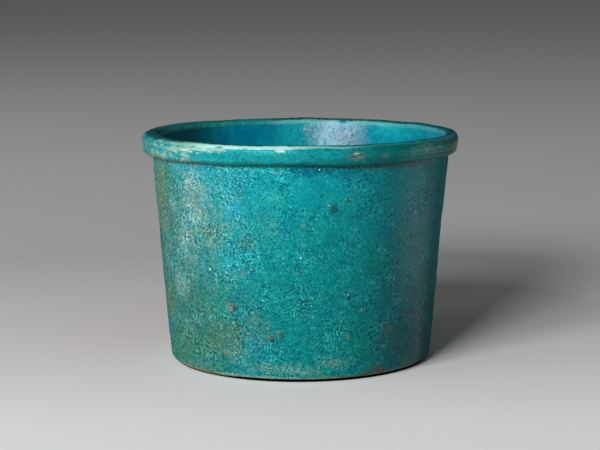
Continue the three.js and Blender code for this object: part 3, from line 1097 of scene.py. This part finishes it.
def marks(surface, colour):
    """Pits that show the paste, bumps, a scratch, stains of a millimetre or two, and bright points that
    are painted glints, with a painted shadow beside the scar on the collar.
    """
    tan = rgb(0.19, 0.20, 0.13)
    brown = rgb(0.07, 0.075, 0.050)
    yellow = rgb(0.30, 0.36, 0.08)
    cream = rgb(0.24, 0.31, 0.22)
    glint = rgb(0.55, 0.84, 0.90)
    white = rgb(0.88, 0.96, 0.94)
    colour = chipped(surface, colour, (
        (TAN_PIT, rgb(0.30, 0.26, 0.17)), (BROWN_PIT, brown), (LOW_PIT, rgb(0.17, 0.19, 0.13)),
        (GREY_PIT, rgb(0.17, 0.19, 0.15)), (GREEN_BUMP, rgb(0.02, 0.19, 0.13)),
        (SMALL_BUMP, rgb(0.03, 0.24, 0.20)),
    ))
    colour = scratched(surface, colour)
    colour = surface.strewn(colour, rgb(0.0, 0.05, 0.08), (
        (7.1, 74.3, 1.2, 1.0, 0.9), (19.8, 29.6, 1.3, 1.2, 0.8), (4, 79.3, 0.8, 0.6, 0.5),
    ))
    colour = surface.strewn(colour, brown, (
        (-33.5, 17.2, 1.0, 0.7, 0.7), (19, 19.7, 0.4, 0.4, 0.6), (-18, 39.6, 0.6, 0.5, 0.6),
        (41, 16.8, 2.0, 1.0, 0.55),
    ))
    colour = surface.strewn(colour, tan, (
        (-29, 7, 1.2, 0.6, 0.6), (-33.6, 47.4, 0.9, 0.6, 0.6), (-22, 38.4, 0.8, 0.6, 0.6),
        (-60.7, 27.6, 0.8, 0.8, 0.5), (19, 79.2, 3.2, 1.4, 0.6),
    ))
    colour = surface.strewn(colour, yellow, (
        (-36.8, 24, 0.9, 0.7, 0.45), (25, 25, 0.7, 0.7, 0.5),
    ))
    colour = surface.strewn(colour, cream, (
        (60, 9.6, 0.5, 1.0, 0.5), (-16, 77.8, 1.5, 0.25, 0.4), (19.5, 15.8, 0.6, 0.9, 0.6),
        (-13, 79.8, 1.4, 0.2, 0.4), (30, 78.6, 1.6, 0.8, 0.4), (18.2, 79.6, 1.0, 0.3, 0.8),
        (20.2, 78.7, 1.1, 0.3, 0.7), (36, 11.2, 1.3, 0.4, 0.6),
    ))
    # Painted glints: small highlights on the wall.
    colour = surface.strewn(colour, glint, (
        (0.2, 44.2, 0.4, 0.35, 0.8), (7.6, 30.8, 0.3, 0.25, 0.4), (58, 40, 0.5, 0.8, 0.6),
        (19.3, 30.7, 0.4, 0.35, 0.55), (-38, 38.4, 0.45, 0.4, 1.0), (-34, 17.8, 0.7, 0.3, 0.5),
    ))
    # Painted glints, most on the collar's top edge; the first sits on a real raised speck.
    colour = surface.strewn(colour, white, (
        (7.1, 74.4, 0.36, 0.32, 1.0), (-43, 80.1, 1.5, 0.25, 0.9), (-40.2, 79.6, 1.3, 0.2, 0.8),
        (-37, 79.3, 0.9, 0.2, 0.5), (19, 80.1, 0.9, 0.2, 0.8),
    ))
    # Painted shadow beside the scar on the collar.
    return surface.strewn(colour, rgb(0, 0.04, 0.04), (
        (18, 79.0, 0.9, 0.3, 0.8), (20.8, 79.5, 0.7, 0.25, 0.8),
    ))


def paste_material():
    """Bare fired paste, coarse and without gloss, darkened as painted shadow on the raised edge of the
    foot.
    """
    material, net, shader = new_material("quartz_paste")
    surface = Surface(net)
    drift = net.noise(surface.place, 7, 3.0, 0.6)
    colour = net.mix(net.between(drift, 0.35, 0.65), rgb(0.36, 0.23, 0.12), rgb(0.52, 0.40, 0.24))
    grain = net.noise(surface.place, 0.5, 2.0, 0.6)
    colour = net.mix(net.between(grain, 0.55, 0.75, 0.0, 0.6), colour, rgb(0.68, 0.58, 0.42))
    colour = net.mix(net.between(grain, 0.42, 0.28, 0.0, 0.6), colour, rgb(0.12, 0.07, 0.04))
    # Painted shadow: the raised edge of the foot is near black where it stands off the table.
    ragged = net.math("MULTIPLY_ADD", net.math("SUBTRACT", surface.break_up, 0.5), 3.0, surface.radius)
    soil_and_shade = net.between(surface.level, 1.6, 0.9)
    soil_and_shade = net.times(soil_and_shade, net.between(ragged, 44.2, 45.2), off_table(surface))
    colour = net.mix(soil_and_shade, colour, rgb(0.004, 0.004, 0.003))
    net.tree.links.new(colour, shader.inputs["Base Color"])
    rough = net.math("MULTIPLY_ADD", grain, 0.2, 0.75)
    net.tree.links.new(rough, shader.inputs["Roughness"])
    shader.inputs["Specular IOR Level"].default_value = 0.0
    bump = net.node("ShaderNodeBump", {}, {"Strength": 1.0, "Distance": 0.12 * MM, "Height": grain})
    net.tree.links.new(bump.outputs[0], shader.inputs["Normal"])
    return material


# Studio

def floor_material():
    """Grey studio paper, its tone painted paler far off and close by than in between, as painted light
    and shade across it. The tones lie fixed on the floor, spaced by the slant at which it is seen from
    the camera's place. The camera and the glaze see the paper brighter than it is for the light that
    it throws on the cup. In the glaze it is brightest in a band off to the cup's right, which lays a
    sheen on that side. Round the cup it is warmer, which takes out the green that the cup throws on
    it, and under the foot a painted shadow makes it dark."""
    material = bpy.data.materials.new("grey_paper")
    material.use_nodes = True
    net = Net(material.node_tree)
    net.tree.nodes.clear()
    coordinates = net.node("ShaderNodeTexCoord", {}, {}).outputs["Object"]
    parts = net.node("ShaderNodeSeparateXYZ", {}, {0: coordinates}).outputs
    depth = net.math("MAXIMUM", net.math("ADD", parts[1], CAMERA_BACK), 0.1)
    slant = net.math("DIVIDE", CAMERA_HEIGHT, depth)
    share = net.node("ShaderNodeMapRange", {}, {"Value": slant, 1: 0.0, 2: NEAREST_SLANT}).outputs[0]
    # Painted light and shade: the paper's tone by its distance.
    ramp = net.node("ShaderNodeValToRGB", {}, {"Fac": share})
    elements = ramp.color_ramp.elements
    elements.new(0.5)
    for element, (place, tone) in zip(elements, PAPER_TONES):
        element.position = place
        element.color = rgb(tone, tone, tone)
    away = net.node("ShaderNodeVectorMath", {"operation": "LENGTH"}, {0: coordinates}).outputs["Value"]
    near = net.node("ShaderNodeMapRange", {}, {"Value": away, 1: CLEAR_OF_CUP, 2: NEAR_CUP}).outputs[0]
    near = net.math("MULTIPLY", near, net.between(parts[0], 0.06, -0.01, 0.45, 1.0))
    near = net.math("MULTIPLY", near, net.between(away, 0.046, 0.060, 0.45, 1.2))
    warm = net.mix(near, ramp.outputs[0], rgb(1.0, 0.895, 0.905), "MULTIPLY")
    # Painted shadow under the foot.
    under = net.between(away, UNDER_FOOT_END, UNDER_FOOT)
    warm = net.mix(under, warm, rgb(0.004, 0.004, 0.004))
    path = net.node("ShaderNodeLightPath", {}, {}).outputs
    gain = net.math("MULTIPLY_ADD", path["Is Camera Ray"], PAPER_GAIN - PAPER_PLAIN, PAPER_PLAIN)
    side = net.math("DEGREES", net.math("ARCTAN2", parts[0], net.math("MULTIPLY", parts[1], -1.0)))
    behind = net.between(net.math("ABSOLUTE", side), 106, 122)
    bright = net.times(
        net.between(side, 74, 84), net.between(side, 110, 102), net.between(away, 0.12, 0.18),
    )
    close = net.times(net.between(side, 66, 78), net.between(away, 0.15, 0.08))
    mirrored = net.math("MULTIPLY_ADD", behind, -0.2, PAPER_MIRRORED - PAPER_PLAIN)
    mirrored = net.math("MULTIPLY_ADD", bright, 2.6, mirrored)
    mirrored = net.math("MULTIPLY_ADD", close, -0.2, mirrored)
    gain = net.math("MULTIPLY_ADD", path["Is Glossy Ray"], mirrored, gain)
    diffuse = net.node("ShaderNodeBsdfDiffuse", {}, {"Color": net.scaled(warm, gain)})
    net.node("ShaderNodeOutputMaterial", {}, {"Surface": diffuse.outputs[0]})
    return material


def studio_floor():
    bpy.ops.object.select_all(action="DESELECT")
    bpy.ops.mesh.primitive_plane_add(size=FLOOR_SIDE, location=(0, 0, 0))
    floor = bpy.context.object
    floor.name = "studio_floor"
    floor.data.materials.append(floor_material())


def softbox(name, turn, rise, width, height, power):
    """A lamp panel, placed by its turn from the front and its rise above the table, in degrees."""
    light = bpy.data.lights.new(name, "AREA")
    light.shape = "RECTANGLE"
    light.size = width
    light.size_y = height
    light.energy = power
    lamp = bpy.data.objects.new(name, light)
    bpy.context.scene.collection.objects.link(lamp)
    round_cup = math.radians(turn)
    up = math.radians(rise)
    level_share = math.cos(up)
    away = Vector((math.sin(round_cup) * level_share, -math.cos(round_cup) * level_share, math.sin(up)))
    lamp.location = LAMP_AIM + away * LAMP_DISTANCE
    lamp.rotation_euler = away.to_track_quat("Z", "Y").to_euler()


def studio_lights():
    softbox("key_softbox", turn=-22.5, rise=20.5, width=0.54, height=0.42, power=22.6)
    softbox("top_softbox", turn=-37.5, rise=29, width=0.51, height=0.86, power=12.8)
    softbox("side_softbox", turn=-71, rise=2.8, width=0.93, height=0.18, power=13.6)
    world = bpy.data.worlds.new("studio")
    world.use_nodes = True
    bpy.context.scene.world = world
    shade = world.node_tree.nodes["Background"]
    shade.inputs[0].default_value = rgb(1, 1, 1)
    shade.inputs[1].default_value = EVEN_LIGHT


def studio_camera():
    camera = bpy.data.cameras.new("camera")
    camera.lens = LENS
    camera.sensor_width = FILM_WIDTH
    stand = bpy.data.objects.new("camera", camera)
    bpy.context.scene.collection.objects.link(stand)
    stand.location = (CAMERA_ASIDE, -CAMERA_BACK, CAMERA_HEIGHT)
    stand.rotation_euler = (math.pi / 2 - CAMERA_DIP, CAMERA_ROLL, 0)
    bpy.context.scene.camera = stand


# Assembly

def dress(piece, material, slot, *nodes):
    """Gives a piece its finish and hands it to the frame in place of its CAD nodes."""
    piece.data.materials.clear()
    piece.data.materials.append(material)
    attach(piece, "root")
    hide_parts(*nodes)


def build_cup():
    glaze = make_glaze()
    base = make_base()
    wall = make_wall()
    collar = make_collar()
    hand_formed([glaze, base, wall, collar])
    roughened(glaze)
    for piece in (glaze, base, wall, collar):
        piece.vertex_groups.clear()
    paste = paste_material()
    dress(glaze, glaze_material(), "glaze", "glaze_coat")
    dress(base, paste, "paste", "base_disc")
    dress(wall, paste, "paste", "wall")
    dress(collar, paste, "paste", "rim_collar")


studio_camera()
studio_floor()
studio_lights()
build_cup()
bpy.context.scene.view_settings.view_transform = "Standard"
